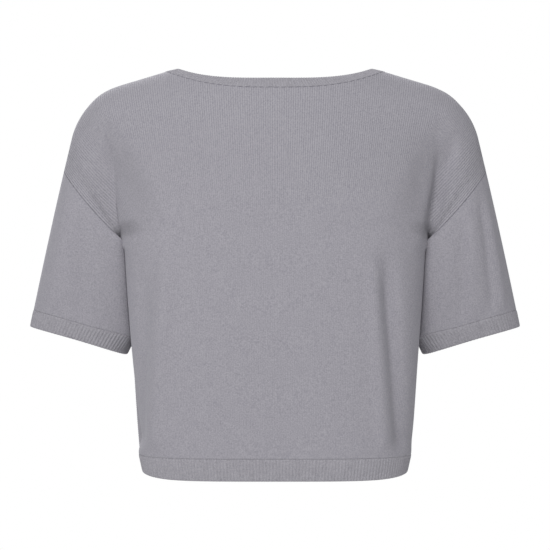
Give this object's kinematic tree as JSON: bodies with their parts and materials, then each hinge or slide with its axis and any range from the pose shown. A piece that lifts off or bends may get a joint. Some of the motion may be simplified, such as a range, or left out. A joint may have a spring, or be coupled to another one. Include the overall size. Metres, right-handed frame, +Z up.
{
  "type": "crop top",
  "caption": "Cropped knitted top with drop shoulders, elbow-length sleeves, a wide ribbed neckband and ribbed cuffs and hem, in the hollow form it takes when worn.",
  "frame": {"origin": "midway between the wearer's shoulders, on the shoulder seams' plane, level with the height where the sloping shoulder lines reach 138 mm from the centre", "axes": "+Z up, +X to the wearer's left, +Y to the back of the garment, so that its front faces -Y"},
  "size_m": [0.579, 0.228, 0.4731],
  "materials": {
    "jersey_knit": "fine plain knit, grey with a trace of lilac, soft and matt",
    "rib_knit": "one-by-one rib in the same yarn, matt, a shade deeper in its furrows"
  },
  "bodies": {
    "root": {"back_panel": "jersey_knit", "front_panel": "jersey_knit", "sleeve_left": "jersey_knit", "sleeve_right": "jersey_knit", "neckband": "rib_knit", "hem_band_back": "rib_knit", "hem_band_front": "rib_knit", "cuff_left": "rib_knit", "cuff_right": "rib_knit"}
  },
  "joints": []
}
